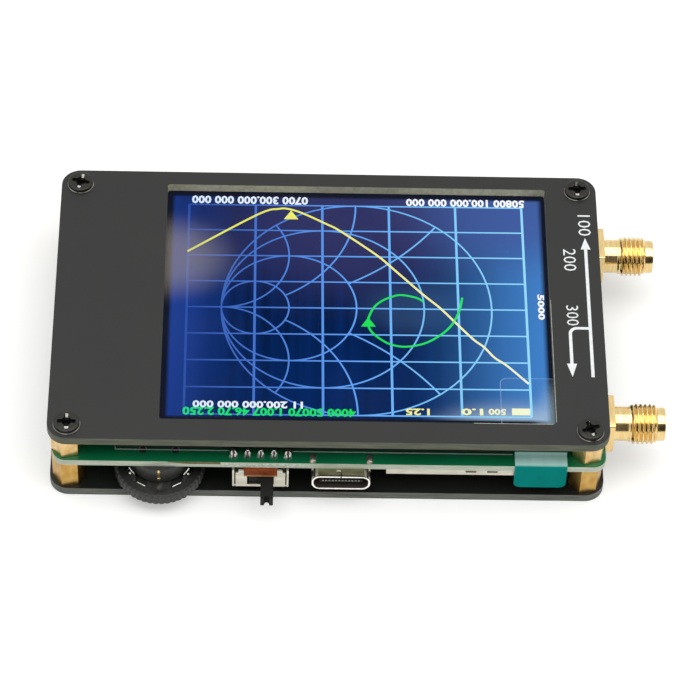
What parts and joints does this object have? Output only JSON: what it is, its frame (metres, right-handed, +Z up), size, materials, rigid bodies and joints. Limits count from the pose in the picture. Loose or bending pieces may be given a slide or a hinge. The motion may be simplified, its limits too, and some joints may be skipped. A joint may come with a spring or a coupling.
{
  "type": "handheld frequency analyzer",
  "caption": "Pocket radio network analyzer: open sandwich of black plates and a green board, touch screen behind a window, coaxial ports, jog wheel, slide switch and charging socket.",
  "frame": {"origin": "centre of the rear plate's underside, the face the part lies on", "axes": "+X to the right, towards the coaxial ports; +Y away from the edge with the controls; +Z up out of the screen"},
  "size_m": [0.0945, 0.0587, 0.0148],
  "materials": {
    "black_laminate": "satin black solder mask over glass-fibre laminate",
    "green_laminate": "glossy green solder mask over glass-fibre laminate",
    "turned_brass": "turned from bar, bright",
    "black_steel": "black zinc plate",
    "foam_tape": "closed foam with adhesive",
    "black_sheet_steel": "pressed sheet with a black baked coat",
    "clear_acrylic": "polished acrylic",
    "cell_glass": "liquid-crystal cell, dark when idle",
    "amber_film": "polyimide film",
    "touch_glass": "resistive touch panel",
    "clear_film": "clear protective film",
    "teal_film": "translucent tinted film",
    "gold_plate": "gold plate on turned brass",
    "white_fluoropolymer": "machined fluoropolymer rod",
    "nickel_sheet": "nickel-plated stamped sheet",
    "black_moulding": "injection-moulded, fine spark texture",
    "brown_phenolic": "phenolic paper laminate",
    "tinned_metal": "bright tin and solder",
    "spring_steel": "drawn and nickel-plated",
    "black_epoxy": "moulded epoxy with tinned leads",
    "tan_ceramic": "fired ceramic with tinned ends",
    "pouch_foil": "laminated aluminium pouch foil",
    "red_insulation": "extruded silicone insulation",
    "black_insulation": "extruded silicone insulation",
    "white_nylon": "injection-moulded nylon"
  },
  "bodies": {
    "chassis": {"front_plate": "black_laminate", "rear_plate": "black_laminate", "main_board": "green_laminate", "front_standoffs": "turned_brass", "rear_standoffs": "turned_brass", "front_screws": "black_steel", "rear_screws": "black_steel", "screen_tape": "foam_tape", "screen_tray": "black_sheet_steel", "light_guide": "clear_acrylic", "screen_cell": "cell_glass", "screen_ribbon": "amber_film", "touch_panel": "touch_glass", "protective_film": "clear_film", "pull_tab": "teal_film", "far_port_body": "gold_plate", "near_port_body": "gold_plate", "port_insulators": "white_fluoropolymer", "port_contacts": "gold_plate", "charge_shell": "nickel_sheet", "charge_tongue": "black_moulding", "charge_contacts": "gold_plate", "switch_shell": "nickel_sheet", "switch_base": "brown_phenolic", "switch_terminals": "tinned_metal", "jog_housing": "black_moulding", "jog_contacts": "gold_plate", "solder_joints": "tinned_metal", "shield_frame": "nickel_sheet", "shield_lid": "nickel_sheet", "processor": "black_epoxy", "mixer_chips": "black_epoxy", "clock_chip": "black_epoxy", "codec_chip": "black_epoxy", "reference_oscillator": "nickel_sheet", "charger_chip": "black_epoxy", "passives": "tan_ceramic", "battery_pad": "foam_tape", "battery_cell": "pouch_foil", "battery_guard": "amber_film", "battery_red_lead": "red_insulation", "battery_black_lead": "black_insulation", "battery_plug": "white_nylon", "battery_socket": "white_nylon"},
    "jog_slide": {"jog_carrier": "black_moulding", "jog_washer": "spring_steel"},
    "jog_dial": {"jog_wheel": "black_moulding", "jog_spring": "spring_steel"},
    "switch_lever": {"switch_slider": "black_moulding", "switch_wiper": "tinned_metal"}
  },
  "joints": [
    {"name": "jog_push", "type": "slide", "parent": "chassis", "child": "jog_slide", "axis": [0, 1, 0], "range_m": [0, 0.0008], "stiffness_N_per_m": 1500},
    {"name": "jog_turn", "type": "hinge", "parent": "jog_slide", "child": "jog_dial", "pos_m": [-0.0258, -0.0236, 0.0034], "axis": [0, 0, 1], "range_deg": [-15, 15], "stiffness_Nm_per_rad": 0.02},
    {"name": "switch_slide", "type": "slide", "parent": "chassis", "child": "switch_lever", "axis": [1, 0, 0], "range_m": [-0.002, 0]}
  ]
}
